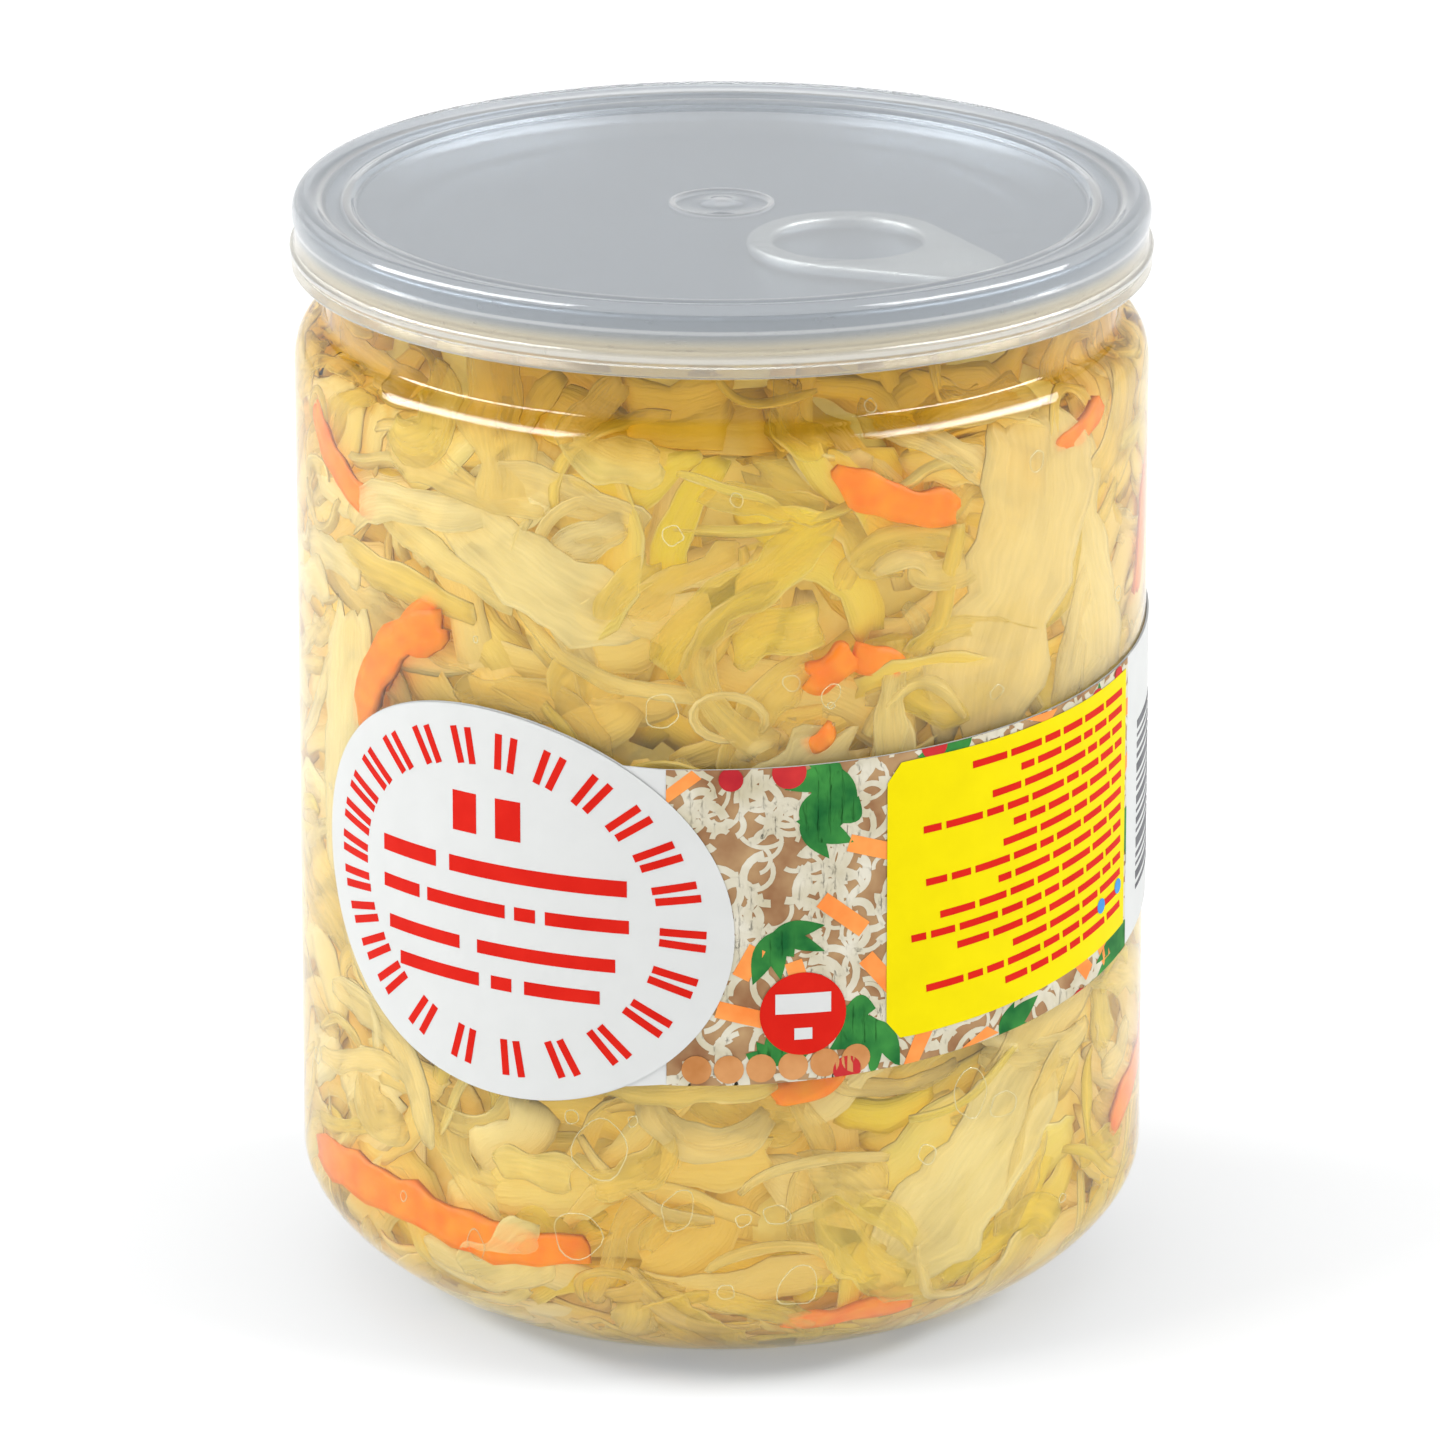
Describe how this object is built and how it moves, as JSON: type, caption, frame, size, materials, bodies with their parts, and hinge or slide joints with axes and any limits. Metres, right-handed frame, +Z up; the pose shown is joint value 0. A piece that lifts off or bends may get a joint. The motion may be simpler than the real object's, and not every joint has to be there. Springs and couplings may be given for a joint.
{
  "type": "sauerkraut jar",
  "caption": "Shut clear plastic can packed with shredded sauerkraut and carrot, with an easy-open metal end under a press-on cap and a wrap-round label.",
  "frame": {"origin": "middle of the ring that the jar stands on", "axes": "+Z up along the jar's axis; -Y is the side that the picture shows as its front, +X to the right of it"},
  "size_m": [0.0879, 0.0879, 0.1148],
  "materials": {
    "clear_plastic": "clear, glossy blow-moulded plastic",
    "aluminium": "rolled sheet, lightly brushed",
    "milky_plastic": "soft translucent moulded plastic, satin",
    "label_paper": "printed white film, slightly glossy",
    "sauerkraut": "wet pale yellow shreds with orange carrot in brine"
  },
  "bodies": {
    "root": {"jar_body": "clear_plastic", "metal_end": "aluminium", "pull_tab": "aluminium", "overcap": "milky_plastic", "label": "label_paper", "sauerkraut": "sauerkraut"}
  },
  "joints": []
}
